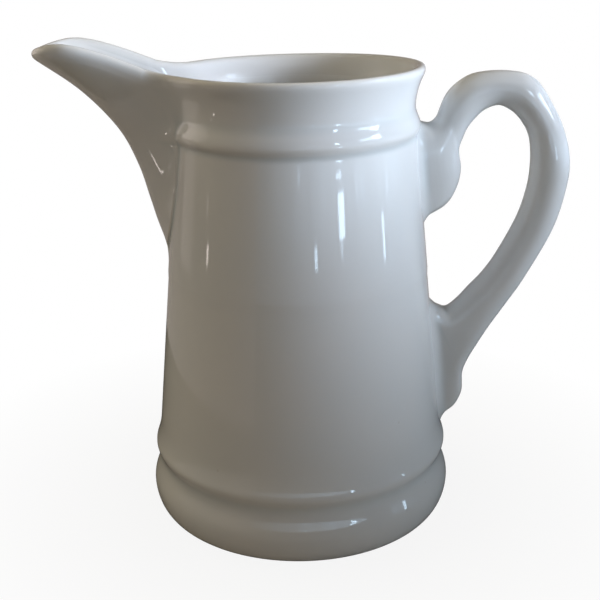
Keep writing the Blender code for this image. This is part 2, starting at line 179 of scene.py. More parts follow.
# makes a piece: keeps the points in use, joins doubles, drops triangles that close up, and gives every
# point its normal
def makePiece(name, points, normals, marks, tris, nodes):
    used, tris = np.unique(tris, return_inverse=True)
    tris = tris.reshape(-1, 3)
    points, normals = points[used], normals[used]
    key = np.round(points / meshing["weld"]).astype(np.int64)
    _, first, group = np.unique(key, axis=0, return_index=True, return_inverse=True)
    tris = group.reshape(-1)[tris]
    a, b, c = tris.T
    tris = tris[(a != b) & (b != c) & (a != c)]
    points, normals = points[first] * mm, unit(normals[first])
    mesh = bpy.data.meshes.new(name)
    mesh.vertices.add(len(points))
    mesh.vertices.foreach_set("co", points.astype(np.float32).ravel())
    mesh.loops.add(tris.size)
    mesh.loops.foreach_set("vertex_index", tris.astype(np.int32).ravel())
    mesh.polygons.add(len(tris))
    mesh.polygons.foreach_set("loop_start", np.arange(0, tris.size, 3, dtype=np.int32))
    mesh.update(calc_edges=True)
    for mark, values in marks.items():
        layer = mesh.attributes.new(mark, "FLOAT", "POINT")
        layer.data.foreach_set("value", values[used][first].astype(np.float32))
    mesh.normals_split_custom_set_from_vertices(normals)
    piece = bpy.data.objects.new(name, mesh)
    bpy.context.scene.collection.objects.link(piece)
    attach(piece, "root")
    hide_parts(*nodes)
    print("made", name, len(tris), "triangles")


# the turned vessel in mm, heights from the table; rim height and foot radius come from the frame
liftRoom = 1.4  # left under the frame's rim for the lift on the handle's side
vessel = dict(
    rimHeight=bodyHigh[2] - liftRoom, footRadius=bodyHigh[0],
    wallTop=49.2, wallBase=63.7, wallThickness=4.5,
    rimFlare=2.9, lipHeight=3.4, lipLean=0.85, neckInset=0.8, neckDrop=15.6, neckBlend=1.0,
    collarProud=1.6, collarDrop=23.9, collarUndercut=2.7, collarTail=0.8,
    footHeight=24.2, beadProud=1.7, beadRise=5.6, beadTail=11.0, grooveDepth=1.9,
    bulgeHeight=11.5, footTuck=6.2, restWidth=5.0, recess=4.5, recessDraft=1.1,
    floorHeight=10.5, floorCorner=14.0, glazeBlur=0.9,
    lift=0.021, liftRound=20.0, liftOver=(100.0, 165.0),
)
rimWidest = vessel["rimHeight"] - vessel["lipHeight"]
neckHeight = vessel["rimHeight"] - vessel["neckDrop"]
collarHeight = vessel["rimHeight"] - vessel["collarDrop"]
creaseHeight = collarHeight - vessel["collarUndercut"]
neckRadius = vessel["wallTop"] - vessel["neckInset"]


# the plain cone: a straight line from the groove to the crease under the collar
def coneRadius(height):
    share = (height - vessel["footHeight"]) / (creaseHeight - vessel["footHeight"])
    return vessel["wallBase"] + (vessel["wallTop"] - vessel["wallBase"]) * share


# the hollow neck: a parabola from the narrowest place up to the widest rim, level below it
def neckLine(height):
    share = np.maximum(height - neckHeight, 0) / (rimWidest - neckHeight)
    return neckRadius + vessel["rimFlare"] * share**2


# outside of the turned body as (radius, height), from the middle of the underside out to the foot and up to
# the rim: flats, quarter rounds, half-cosine swells and a bead that flares by a square, blurred as the
# glaze rounds them off
def outsideLine():
    beadHeight = vessel["footHeight"] + vessel["beadRise"]
    beadTop = beadHeight + vessel["beadTail"]
    bead = coneRadius(beadHeight) + vessel["beadProud"]
    groove = (bead - vessel["grooveDepth"], vessel["footHeight"])
    foot = (vessel["footRadius"], vessel["bulgeHeight"])
    tread = vessel["footRadius"] - vessel["footTuck"]
    collar = (vessel["wallTop"] + vessel["collarProud"], collarHeight)
    neckTop = np.linspace(rimWidest, neckHeight, 40)
    down = [np.stack([neckLine(neckTop), neckTop], 1)]
    down.append(easeLine((neckRadius, neckHeight), collar))
    collarEnd = creaseHeight - vessel["collarTail"]
    down.append(easeLine(collar, (coneRadius(collarEnd), collarEnd)))
    share = np.linspace(0, 1, 24)
    skirt = beadTop + (beadHeight - beadTop) * share
    down.append(np.stack([coneRadius(skirt) + vessel["beadProud"] * share**2, skirt], 1))
    down.append(easeLine((bead, beadHeight), groove))
    down.append(easeLine(groove, foot))
    down.append(quarterRound(foot, (tread, 0.0)))
    inner, recess = tread - vessel["restWidth"], vessel["recess"]
    down.append(np.array([(inner, 0.0), (inner - vessel["recessDraft"], recess), (0.0, recess)]))
    return softened(np.vstack(down)[::-1], vessel["glazeBlur"])


outside = outsideLine()
widestFoot = outside[:, 0].argmax()
upperOutside = outside[widestFoot:]


# radius of the turned outside at a height, read off the outside line
def wallRadius(height):
    return np.interp(height, upperOutside[:, 1], upperOutside[:, 0])


# lift of the rim on the handle's side, where the wheel's work has sagged less: half of x plus its rounded
# size, grown in by a smooth step over the upper wall
def rimLift(points):
    across = (points[..., 0] + np.sqrt(points[..., 0] ** 2 + vessel["liftRound"] ** 2)) / 2
    return vessel["lift"] * across * smoothStep(points[..., 2], *vessel["liftOver"])


# the beak in mm: reach is measured out from the axis; pairs are at the collar and at the lip
beak = dict(
    chinDrop=72.6, rootHalf=18.6, rootRound=35.0, lipHalf=18.0, noseLength=30.0, shortest=0.5,
    blunt=(1.0, 2.0), opens=(160.0, 196.0, 2.5), slopeSteps=14,
    fillet=(6.0, 26.0), filletDrop=(0.15, 0.0), filletOpens=(160.0, 191.0),
    seam=6.0, crease=1.4, thickness=5.6, tipReach=103.9, tipHeight=195.6,
    keel=((0.0, 0.0), (0.085, 0.12), (0.15, 0.27), (0.23, 0.45), (0.375, 0.64), (0.65, 0.835), (1.0, 1.0)),
    lipStart=45.0, crestReach=90.0, tipRise=7.6, crestRise=10.7,
    lipRoll=2.0, rollEnds=(48.0, 62.0, 94.0, 102.0),
)
chinHeight = vessel["rimHeight"] - beak["chinDrop"]


# reach of the keel at a height: a smooth line from the chin to the tip, carried on straight past both ends
def keelReach(height):
    line = throughPoints(beak["keel"], 400)
    before = line[0] - (line[8] - line[0]) * 20  # on from its first few steps
    after = line[-1] + (line[-1] - line[-20]) * 8  # and from its last ones
    line = np.vstack([before, line, after])
    chin = coneRadius(chinHeight)
    share = (height - chinHeight) / (beak["tipHeight"] - chinHeight)
    return chin + (beak["tipReach"] - chin) * np.interp(share, line[:, 1], line[:, 0])


# radius of the beak at an angle and a height: each level section runs straight out from the wall and closes
# in a nose on the keel, (y / half)^2 + ((x - start) / length)^blunt = 1, wider and blunter by a power of
# the way up to the lip; the radius is found by stepping along the slope from outside
def beakRadius(angle, height):
    climb = np.maximum(height - chinHeight, beak["shortest"])
    low, high, growth = beak["opens"]
    opened = np.clip((height - low) / (high - low), 0, 1.1) ** growth
    half = beak["rootHalf"] * np.sqrt(1 - np.maximum(1 - climb / beak["rootRound"], 0) ** 2)
    half = half + (beak["lipHalf"] - beak["rootHalf"]) * opened
    reach = keelReach(height)
    root = np.sqrt(coneRadius(np.minimum(height, creaseHeight)) ** 2 - half**2)
    length = np.maximum(reach - root, beak["shortest"])
    length = length + (np.minimum(beak["noseLength"], length) - length) * opened
    start = reach - length
    power = beak["blunt"][0] + (beak["blunt"][1] - beak["blunt"][0]) * opened
    cosine, sine = np.maximum(np.cos(angle), 0.01), np.abs(np.sin(angle))
    radius = np.minimum(reach / cosine, half / np.maximum(sine, 1e-6))
    for _ in range(beak["slopeSteps"]):
        share = np.maximum((radius * cosine - start) / length, 1e-9)
        over = (radius * sine / half) ** 2 + share**power - 1
        rate = 2 * radius * (sine / half) ** 2 + power * share ** (power - 1) * cosine / length
        radius = radius - over / rate
    return np.where(cosine > 0.01, radius, 0.0)


# wall and beak joined: a wide rounded maximum let down a little, so that its outer end meets the wall in a
# narrow crease; towards the lip the rounding grows wider and the crease runs out
def joinedRadius(wall, spout, height):
    opened = smoothStep(height, *beak["filletOpens"])
    fillet, drop = (low + (high - low) * opened for low, high in (beak["fillet"], beak["filletDrop"]))
    return roundMax(wall, roundMax(wall, spout, fillet) - drop, beak["crease"])


# rise of the lip over the plain rim along the spout: a smooth step to the crest, then a parabola to the tip
def lipRise(reach):
    past = np.maximum(reach - beak["crestReach"], 0) / (beak["tipReach"] - beak["crestReach"])
    climb = beak["crestRise"] * smoothStep(reach, beak["lipStart"], beak["crestReach"])
    return climb - (beak["crestRise"] - beak["tipRise"]) * past**2


# the vessel's grid in mm and degrees: rows above zoneStart are stretched up to the lip, columns are close
# together at the spout, and the inside turns dull over the drop under the rim that dullBelow gives
vesselGrid = dict(
    zoneStart=108.0, zoneMiddle=156.0, rowsBelow=42, rowsAbove=56, lipRows=6, lipSteps=20,
    baseRows=8, baseInset=4.0, footRows=72, coneRows=20, floorRows=10, cornerRows=30,
    closeSpan=44.0, closeStep=0.8, wideStep=2.5, farBelow=-50.0, dullBelow=(1.0, 6.0),
)


# angles of the columns from the spout's direction: equal steps along its lip, wide steps round the rest
def columnAngles():
    span = vesselGrid["closeSpan"]
    fine = np.linspace(0, np.radians(span), 2000)
    height = rimWidest + beak["tipRise"] / 2
    radius = joinedRadius(wallRadius(height), beakRadius(fine, height), height)
    run = np.concatenate([[0], np.cumsum(np.hypot(np.diff(radius), radius[1:] * np.diff(fine)))])
    count = int(run[-1] / vesselGrid["closeStep"])
    close = np.interp(np.arange(count) * run[-1] / count, run, fine)
    wide = np.radians(np.linspace(span, 360 - span, int((360 - 2 * span) / vesselGrid["wideStep"])))
    return np.concatenate([-close[:0:-1], close, wide])


# the turned rows under the spout, as many inside as outside: the outside line at even steps, and within it
# the floor, a quarter round and a straight wall
def lowerRows():
    zoneStart = vesselGrid["zoneStart"]
    run = np.concatenate([[0], np.cumsum(np.linalg.norm(np.diff(outside, axis=0), axis=1))])
    beadEnd = vessel["footHeight"] + vessel["beadRise"] + vessel["beadTail"]
    stops = np.interp([beadEnd, zoneStart], upperOutside[:, 1], run[widestFoot:])
    baseEdge = vessel["footRadius"] - vessel["footTuck"] - vessel["restWidth"] - vesselGrid["baseInset"]
    places = np.concatenate([
        np.linspace(0, baseEdge, vesselGrid["baseRows"]),
        np.linspace(baseEdge, stops[0], vesselGrid["footRows"])[1:],
        np.linspace(stops[0], stops[1], vesselGrid["coneRows"] + 1)[1:-1],
    ])
    outer = np.stack([np.interp(places, run, outside[:, 0]), np.interp(places, run, outside[:, 1])], 1)
    slope = (vessel["wallTop"] - vessel["wallBase"]) / (creaseHeight - vessel["footHeight"])
    normal = unit(np.array([1.0, -slope]))
    cornerTop = vessel["floorHeight"] + vessel["floorCorner"]
    cornerRadius = coneRadius(cornerTop) - vessel["wallThickness"]
    floorEdge = cornerRadius - vessel["floorCorner"]
    floor = np.stack([np.linspace(0, floorEdge, vesselGrid["floorRows"]),
                      np.full(vesselGrid["floorRows"], vessel["floorHeight"])], 1)
    cornerStart, cornerEnd = (cornerRadius, cornerTop), (floorEdge, vessel["floorHeight"])
    corner = quarterRound(cornerStart, cornerEnd, vesselGrid["cornerRows"])[::-1]
    corner = np.vstack([corner, [cornerStart]])
    top = np.array([coneRadius(zoneStart), zoneStart]) - normal * vessel["wallThickness"]
    wallCount = len(outer) - len(floor) - len(corner) + 2
    wall = np.linspace(corner[-1], top, wallCount + 1)[1:-1]
    return outer, np.vstack([floor, corner[1:], wall])


# points of a (radius, height) grid set out at the columns' angles
def setOut(radius, height, angle):
    return np.stack([-radius * np.cos(angle), -radius * np.sin(angle), height + 0 * radius * angle], -1)


# the rounded lip: half an ellipse from the top row outside to the top row inside, taller where the beak's
# lip rolls over, its crown leaning outwards; the crown's row is there twice, once for each side
def lipGrid(outerZone, innerZone, roll):
    count = vesselGrid["lipRows"]
    turn = np.pi / 2 * np.arange(1, count + 1) / count
    turn = np.concatenate([turn, np.pi - turn])[:, None, None]
    middle, half = (outerZone[-1] + innerZone[-1]) / 2, (outerZone[-1] - innerZone[-1]) / 2
    upwards = unit(outerZone[-1] - outerZone[-2] + innerZone[-1] - innerZone[-2])
    along = unit(np.roll(middle, -1, 0) - np.roll(middle, 1, 0))
    upwards = unit(upwards - along * (upwards * along).sum(-1, keepdims=True))
    crown = np.sin(np.pi * (turn / np.pi) ** vessel["lipLean"])
    tall = np.sqrt(vessel["lipHeight"] ** 2 + vessel["lipHeight"] * roll)[..., None]
    lip = middle + half * np.cos(turn) + upwards * tall * crown
    lip[2 * count - 1] = lip[count - 1]
    return lip[:count], lip[count:]


# the whole vessel as two matching grids, outside and inside, that meet along the crown of the lip: outside
# radius = rounded maximum of the turned wall and the beak, inside = the plain outside less the wall's
# thickness along its normal; lead is how far the beak stands out past the wall
def vesselGrids():
    angle = columnAngles()[None, :]
    low, high = vesselGrid["zoneStart"], rimWidest
    heights = np.concatenate([
        np.linspace(low, vesselGrid["zoneMiddle"], vesselGrid["rowsBelow"], endpoint=False),
        np.linspace(vesselGrid["zoneMiddle"], high, vesselGrid["rowsAbove"]),
    ])[:, None]
    top = high + 0.5 * beak["tipRise"] + 0 * angle
    for _ in range(vesselGrid["lipSteps"]):
        out = joinedRadius(wallRadius(top), beakRadius(angle, top), top) * np.cos(angle)
        top = (top + high + lipRise(out)) / 2
    ends = beak["rollEnds"]
    roll = beak["lipRoll"] * smoothStep(out, *ends[:2]) * (1 - smoothStep(out, *ends[2:]))
    inside = low + (heights - low) * (top - low) / (high - low)
    heights = low + (heights - low) * (top - roll - low) / (high - low)
    wall = wallRadius(heights)
    spout = beakRadius(angle, heights)
    lead = spout - wall
    outerZone = setOut(joinedRadius(wall, spout, heights), heights, angle)
    plain = roundMax(coneRadius(inside), neckLine(inside), vessel["neckBlend"])
    plainZone = setOut(joinedRadius(plain, beakRadius(angle, inside), inside), inside, angle)
    onBeak = smoothStep(lead, -beak["seam"], 2 * beak["seam"])
    thickness = vessel["wallThickness"] + (beak["thickness"] - vessel["wallThickness"]) * onBeak
    innerZone = plainZone - gridNormals(plainZone) * thickness[..., None]
    outerLip, innerLip = lipGrid(outerZone, innerZone, roll)
    outerLow, innerLow = lowerRows()
    outer = np.concatenate([setOut(outerLow[:, :1], outerLow[:, 1:], angle), outerZone, outerLip])
    inner = np.concatenate([setOut(innerLow[:, :1], innerLow[:, 1:], angle), innerZone, innerLip])
    for grid in (outer, inner):
        grid[..., 2] += rimLift(grid)
    below = np.full((len(outerLow), angle.size), vesselGrid["farBelow"])
    lead = np.concatenate([below, lead, np.repeat(lead[-1:], vesselGrid["lipRows"], 0)])
    return outer, inner, lead


# quads, as triangles, that close a cut wall: from each step of the cut line outside to the same step inside
def wallCap(line, shift):
    p, q = line.T
    return np.concatenate([np.stack([q, p, p + shift], 1), np.stack([q, p + shift, q + shift], 1)])


# how the glaze lies on a bent surface, with painted shade where it pools in hollows, lengths in mm
glazeLay = dict(poolShadeLength=2.6, thinLength=1.3, thinStart=0.15)


# marks for the glaze: pooled glaze and painted shade in hollows = their bend times a length, thin on
# edges = their bend times a length less a start, both held between 0 and 1
def glazeMarks(bend):
    pooled = np.clip(-bend * glazeLay["poolShadeLength"], 0, 1)
    thin = np.clip(bend * glazeLay["thinLength"] - glazeLay["thinStart"], 0, 1)
    return dict(pooled=pooled.reshape(-1), thin=thin.reshape(-1))


# body, seam and spout: the vessel's surface cut where the beak leads the wall by less and by more than the
# seam; each cut goes through both sheets of the wall, and its two lines are joined by a cap
def makeVessel():
    outer, inner, lead = vesselGrids()
    rows, columns = lead.shape
    strip = np.concatenate([outer, inner[::-1][1:]])
    normals = gridNormals(strip)
    normals[0], normals[-1] = (0, 0, -1), (0, 0, 1)
    bend = gridBend(strip, normals)
    bend[[0, 1, -2, -1]] = 0

    # a strip's values split into the outside's and the inside's, row for row
    def paired(grid):
        return grid[:rows].reshape(-1, *grid.shape[2:]), grid[rows - 1:][::-1].reshape(-1, *grid.shape[2:])

    # the pooled marks hold a pooled-glaze tint and painted shade in the hollows, outside and inside
    outerMarks, innerMarks = (glazeMarks(part) for part in paired(bend))
    outerNormals, innerNormals = paired(normals)
    dullEnd, dullStart = (rimWidest - drop for drop in vesselGrid["dullBelow"])
    within = 1 - smoothStep(inner[..., 2].reshape(-1), dullStart, dullEnd)
    values = dict(lead=lead.reshape(-1), outer=outer.reshape(-1, 3), inner=inner.reshape(-1, 3),
                  outerNormals=outerNormals, innerNormals=innerNormals,
                  outerPooled=outerMarks["pooled"], innerPooled=innerMarks["pooled"],
                  outerThin=outerMarks["thin"], innerThin=innerMarks["thin"],
                  outerInside=0 * within, innerInside=within)
    tris = ringTriangles(rows, columns)
    bodyTris, rest, bodyLine, mix = cutAlong(tris, values["lead"], -beak["seam"])
    values = {key: carried(value, mix) for key, value in values.items()}
    seamTris, spoutTris, spoutLine, mix = cutAlong(rest, values["lead"], beak["seam"])
    values = {key: carried(value, mix) for key, value in values.items()}
    shift = len(values["lead"])
    points = np.concatenate([values["outer"], values["inner"]])
    normals = np.concatenate([values["outerNormals"], values["innerNormals"]])
    marks = {mark: np.concatenate([values["outer" + mark.title()], values["inner" + mark.title()]])
             for mark in ("pooled", "thin", "inside")}

    # a piece of the wall: its sheet outside, the same turned over inside, and a cap along each cut
    def closed(name, sheet, lines, nodes):
        faces = [sheet, sheet[:, ::-1] + shift] + [wallCap(line, shift) for line in lines]
        makePiece(name, points, normals, marks, np.concatenate(faces), nodes)

    seamLines = [bodyLine[:, ::-1], spoutLine]
    closed("bodyGlazed", bodyTris, [bodyLine], ["jug_body"])
    closed("spoutSeamGlazed", seamTris, seamLines, ["spout_slip_seam"])
    closed("spoutGlazed", spoutTris, [spoutLine[:, ::-1]], ["pouring_spout"])


# the scrolled handle in mm: stations from the upper root round to the lower one, each with its outer and
# inner point (out from the axis, up from the table), half its width across and how hollow its sides are
scroll = dict(
    rows=320, around=80, fineRows=1600, step=0.2, blur=0.9, roundOver=11.5, sideBlur=(5.0, 1.6), wrap=8,
    stations=(
        ((46.5, 168.4), (48.5, 127.5), 9.6, 0.0),
        ((51.5, 168.2), (53.5, 128.3), 9.4, 0.0),
        ((55.2, 168.2), (62.5, 133.4), 9.2, 0.02),
        ((57.5, 170.2), (67.0, 141.0), 9.0, 0.05),
        ((58.7, 173.2), (68.4, 148.7), 8.8, 0.06),
        ((60.2, 177.2), (67.3, 156.3), 8.6, 0.06),
        ((62.4, 180.9), (68.7, 161.5), 8.4, 0.03),
        ((66.0, 184.3), (71.0, 166.5), 8.0, 0.0),
        ((72.0, 187.5), (76.5, 172.4), 7.5, 0.0),
        ((81.4, 188.6), (82.6, 174.6), 7.2, 0.0),
        ((91.2, 187.7), (87.7, 172.5), 7.4, 0.0),
        ((97.0, 185.1), (90.6, 170.1), 7.8, 0.0),
        ((100.2, 181.8), (92.8, 167.4), 8.1, 0.0),
        ((104.4, 175.5), (95.2, 163.4), 8.4, 0.02),
        ((109.7, 165.6), (96.6, 158.4), 8.5, 0.03),
        ((113.3, 153.1), (97.2, 150.0), 8.5, 0.03),
        ((113.0, 141.0), (96.3, 140.0), 8.5, 0.03),
        ((108.3, 122.3), (92.7, 127.3), 8.5, 0.03),
        ((97.6, 101.0), (84.9, 111.5), 8.6, 0.04),
        ((90.8, 90.1), (79.2, 102.9), 8.7, 0.05),
        ((83.5, 79.0), (74.0, 97.1), 9.0, 0.08),
        ((78.5, 70.5), (68.7, 91.0), 9.5, 0.15),
        ((74.6, 63.3), (64.2, 87.6), 10.0, 0.24),
        ((72.6, 57.5), (60.2, 88.7), 10.2, 0.30),
        ((72.6, 52.5), (55.0, 89.8), 10.2, 0.33),
        ((72.6, 48.5), (54.0, 72.0), 9.8, 0.33),
        ((71.3, 44.3), (54.5, 57.0), 9.2, 0.25),
        ((69.3, 40.8), (55.0, 48.0), 8.5, 0.15),
        ((66.3, 38.2), (56.0, 42.5), 7.6, 0.05),
        ((63.0, 36.0), (57.0, 38.3), 6.6, 0.0),
        ((59.5, 34.5), (57.2, 35.6), 5.6, 0.0),
    ),
    edgeRun=14.0, edgeDip=1.0, flare=3.8, flareReach=4.8, flareMost=1.35, flareLessOnTop=0.85,
    slipHeight=1.8, slipDepth=-1.6, rootsApart=110.0,
)


# distance of points in the handle's plane from an edge, taken to the tangent at its nearest step
def edgeDistance(points, edge):
    tangent = unit(np.gradient(edge, axis=0))
    flat = points.reshape(-1, 2)
    nearest = ((edge**2).sum(1)[None, :] - 2 * flat @ edge.T).argmin(1)
    offset = flat - edge[nearest]
    across = offset[:, 0] * tangent[nearest, 1] - offset[:, 1] * tangent[nearest, 0]
    return np.abs(across).reshape(points.shape[:-1])


# the handle's grid: sections run straight from the outer to the inner edge, and the sides stand out by half
# the width times a quarter circle of the distance from each edge; an edge is followed only as far as it is
# clear of the wall, and goes on straight inwards from there
def handleGrid():
    table = np.array([(*outer, *inner, *shape) for outer, inner, *shape in scroll["stations"]])
    fine = softened(throughPoints(table, scroll["fineRows"]), scroll["blur"], scroll["step"])
    line = fine[np.linspace(0, len(fine) - 1, scroll["rows"]).astype(int)]
    angle = 2 * np.pi * np.arange(scroll["around"])[None, :] / scroll["around"]
    up = np.cos(angle)
    plane = line[:, None, 0:2] * (1 + up[..., None]) / 2 + line[:, None, 2:4] * (1 - up[..., None]) / 2
    depth = line[:, None, 4] * (1 - line[:, None, 5] * (1 - up**2) ** 2)
    for edge in (fine[:, 0:2], fine[:, 2:4]):
        edge = edge[edge[:, 0] > wallRadius(edge[:, 1]) - scroll["edgeDip"]]
        inwards = np.arange(scroll["edgeRun"], 0, -scroll["step"])[:, None] * np.array([[-1.0, 0.0]])
        edge = np.vstack([edge[0] + inwards, edge, edge[-1] + inwards[::-1]])
        near = np.minimum(edgeDistance(plane, edge) / scroll["roundOver"], 1)
        depth = depth * np.sqrt(1 - (1 - near) ** 2)
    side = blurred(depth * np.sign(np.round(np.sin(angle), 6)), scroll["sideBlur"][0])
    wrap = scroll["wrap"]
    ring = np.hstack([side[:, -wrap:], side, side[:, :wrap]])
    side = blurred(ring.T, scroll["sideBlur"][1]).T[:, wrap:-wrap]
    return np.stack([plane[..., 0], side, plane[..., 1]], -1)


# gap from the turned wall, along the radius, with the rim's lift taken off
def wallGap(points):
    return np.hypot(points[..., 0], points[..., 1]) - wallRadius(points[..., 2] - rimLift(points))


# fans from the middle of a closed cut line to each of its steps
def fanCap(line, points, normals, facing):
    hub = points[np.unique(line)].mean(0)
    index = len(points)
    points = np.vstack([points, hub])
    normals = np.vstack([normals, facing])
    fan = np.stack([line[:, 1], line[:, 0], np.full(len(line), index)], 1)
    return fan, points, normals


# handle and its two slips: near the wall the section flares by the cube of the share of the flare's reach
# that is left, less on top, and the surface is cut at a height over the wall
def makeHandle():
    grid = handleGrid()
    normals = -gridNormals(grid)
    outwards = unit(grid * np.array([1.0, 1.0, 0.0]))
    sideways = normals - outwards * (normals * outwards).sum(-1, keepdims=True)
    left = np.clip(1 - wallGap(grid) / scroll["flareReach"], 0, scroll["flareMost"])
    onTop = np.maximum(normals[..., 2], 0)
    flare = scroll["flare"] * left**3 * (1 - scroll["flareLessOnTop"] * onTop)
    grid = grid + unit(sideways) * flare[..., None] * np.linalg.norm(sideways, axis=-1, keepdims=True)
    normals = -gridNormals(grid)
    # glaze marks for the handle, the pooled one also painted shade darkening its hollows
    marks = glazeMarks(gridBend(grid, normals))
    rows, columns = grid.shape[:2]
    values = dict(points=grid.reshape(-1, 3), normals=normals.reshape(-1, 3), **marks)
    gap = wallGap(values["points"])
    tris = ringTriangles(rows, columns)[:, ::-1]
    _, tris, deepLine, mix = cutAlong(tris, gap, scroll["slipDepth"])
    values = {key: carried(value, mix) for key, value in values.items()}
    gap = carried(gap, mix)
    slipTris, handleTris, topLine, mix = cutAlong(tris, gap, scroll["slipHeight"])
    values = {key: carried(value, mix) for key, value in values.items()}
    points, normals = values["points"], values["normals"]

    # the faces or steps of one root, told apart by their mean height
    def atRoot(faces, upper):
        return faces[(points[faces][..., 2].mean(1) > scroll["rootsApart"]) == upper]

    handleFaces = [handleTris]
    roots = ((True, "upperRootSlip", "upper_handle_slip"), (False, "lowerRootSlip", "lower_handle_slip"))
    for upper, name, node in roots:
        top, deep = atRoot(topLine, upper), atRoot(deepLine, upper)
        topFan, points, normals = fanCap(top, points, normals, (1, 0, 0))
        deepFan, points, normals = fanCap(deep[:, ::-1], points, normals, (-1, 0, 0))
        handleFaces.append(topFan[:, ::-1])
        spread = {key: np.concatenate([value, np.zeros(len(points) - len(value))])
                  for key, value in values.items() if value.ndim == 1}
        slip = np.concatenate([atRoot(slipTris, upper), topFan, deepFan])
        makePiece(name, points, normals, spread, slip, [node])
    makePiece("handleGlazed", points, normals, spread, np.concatenate(handleFaces), ["handle"])


makeVessel()
makeHandle()


# glaze colours are linear; scales are per metre, depths and heights in metres
# the pool colour is a cool tint of pooled glaze, made darker as painted shade in hollows and creases
whiteGlaze = dict(
    white=(0.75, 0.745, 0.73), cloud=(0.72, 0.73, 0.725), poolAndShade=(0.58, 0.625, 0.63), edge=(0.76, 0.735, 0.68),
    cloudScale=16.0, cloudRange=(0.35, 0.65), ior=1.5,
    rough=(0.02, 0.05), roughScale=55.0, roughRange=(0.3, 0.7), roughInside=0.32,
    waves=((38.0, 0.00006), (520.0, 0.0000025)),
    speckScale=150.0, speckSize=0.05, speckPick=(0.93, 0.94), speckDepth=0.2, speck=(0.46, 0.40, 0.33),
    clay=(0.70, 0.66, 0.59), clayRough=0.75,
    clayTop=0.0011, clayEdge=0.0002, clayWander=0.0004, clayScale=300.0,
)


# a node with its settings
def addNode(tree, kind, **settings):
    node = tree.nodes.new(kind)
    for key, value in settings.items():
        setattr(node, key, value)
    return node


# a value for a socket: linked if another node gives it, else set
def plug(tree, value, socket):
    if isinstance(value, bpy.types.NodeSocket):
        tree.links.new(value, socket)
    elif isinstance(value, tuple):
        socket.default_value = (*value, 1)
    else:
        socket.default_value = value


# two values or two colours mixed: first * (1 - factor) + second * factor
def blended(tree, factor, first, second, kind="RGBA"):
    node = addNode(tree, "ShaderNodeMix", data_type=kind)
    inputs = [socket for socket in node.inputs if socket.enabled]
    for value, socket in zip((factor, first, second), inputs):
        plug(tree, value, socket)
    return [socket for socket in node.outputs if socket.enabled][0]


# a value carried straight from one range to another and held at its ends
def mapRange(tree, value, fromLow, fromHigh, toLow, toHigh):
    node = addNode(tree, "ShaderNodeMapRange")
    sockets = ("Value", "From Min", "From Max", "To Min", "To Max")
    for socket, number in zip(sockets, (value, fromLow, fromHigh, toLow, toHigh)):
        plug(tree, number, node.inputs[socket])
    return node.outputs["Result"]


# soft noise between 0 and 1, so many waves to the metre
def noise(tree, place, scale, detail):
    node = addNode(tree, "ShaderNodeTexNoise")
    for socket, value in (("Vector", place), ("Scale", scale), ("Detail", detail)):
        plug(tree, value, node.inputs[socket])
    return node.outputs["Fac"]


# one sum of two values, named by its operation
def reckon(tree, operation, first, second):
    node = addNode(tree, "ShaderNodeMath", operation=operation)
    plug(tree, first, node.inputs[0])
    plug(tree, second, node.inputs[1])
    return node.outputs[0]


# a mark that a mesh carries at its points
def marked(tree, mark):
    return addNode(tree, "ShaderNodeAttribute", attribute_name=mark).outputs["Fac"]


# white glaze: clouds of two whites, a cool tint where it has pooled that is also painted shade darkening
# the hollows, a warm one where it is thin, a few pin specks, a gloss that wavers and is duller inside, slow
# waves and a fine peel in the surface; the foot's tread is bare clay up to a height that wanders
def makeGlaze(name, look, bareFoot):
    material = bpy.data.materials.new(name)
    material.use_nodes = True
    tree = material.node_tree
    shader = tree.nodes["Principled BSDF"]
    shader.inputs["IOR"].default_value = look["ior"]
    place = addNode(tree, "ShaderNodeTexCoord").outputs["Object"]
    clouds = mapRange(tree, noise(tree, place, look["cloudScale"], 3.0), *look["cloudRange"], 0.0, 1.0)
    colour = blended(tree, clouds, look["white"], look["cloud"])
    # the pooled mark tints the hollows cool and darkens them as painted shade
    colour = blended(tree, marked(tree, "pooled"), colour, look["poolAndShade"])
    colour = blended(tree, marked(tree, "thin"), colour, look["edge"])
    cells = addNode(tree, "ShaderNodeTexVoronoi")
    plug(tree, place, cells.inputs["Vector"])
    plug(tree, look["speckScale"], cells.inputs["Scale"])
    near = mapRange(tree, cells.outputs["Distance"], look["speckSize"], look["speckSize"] * 2, 1.0, 0.0)
    pick = addNode(tree, "ShaderNodeSeparateColor")
    plug(tree, cells.outputs["Color"], pick.inputs["Color"])
    few = mapRange(tree, pick.outputs["Red"], *look["speckPick"], 0.0, look["speckDepth"])
    colour = blended(tree, reckon(tree, "MULTIPLY", near, few), colour, look["speck"])
    rough = mapRange(tree, noise(tree, place, look["roughScale"], 2.0), *look["roughRange"], *look["rough"])
    dull = reckon(tree, "MULTIPLY", marked(tree, "inside"), look["roughInside"])
    rough = reckon(tree, "ADD", rough, dull)
    if bareFoot:
        split = addNode(tree, "ShaderNodeSeparateXYZ")
        plug(tree, place, split.inputs["Vector"])
        wander = look["clayWander"]
        edge = mapRange(tree, noise(tree, place, look["clayScale"], 2.0), 0.0, 1.0, -wander, wander)
        height = reckon(tree, "ADD", split.outputs["Z"], edge)
        low, high = look["clayTop"] - look["clayEdge"], look["clayTop"] + look["clayEdge"]
        bare = mapRange(tree, height, low, high, 1.0, 0.0)
        colour = blended(tree, bare, colour, look["clay"])
        rough = blended(tree, bare, rough, look["clayRough"], "FLOAT")
    plug(tree, colour, shader.inputs["Base Color"])
    plug(tree, rough, shader.inputs["Roughness"])
    surface = None
    for scale, depth in look["waves"]:
        bump = addNode(tree, "ShaderNodeBump")
        plug(tree, depth, bump.inputs["Distance"])
        plug(tree, noise(tree, place, scale, 1.0), bump.inputs["Height"])
        if surface:
            plug(tree, surface, bump.inputs["Normal"])
        surface = bump.outputs["Normal"]
    plug(tree, surface, shader.inputs["Normal"])
    return material


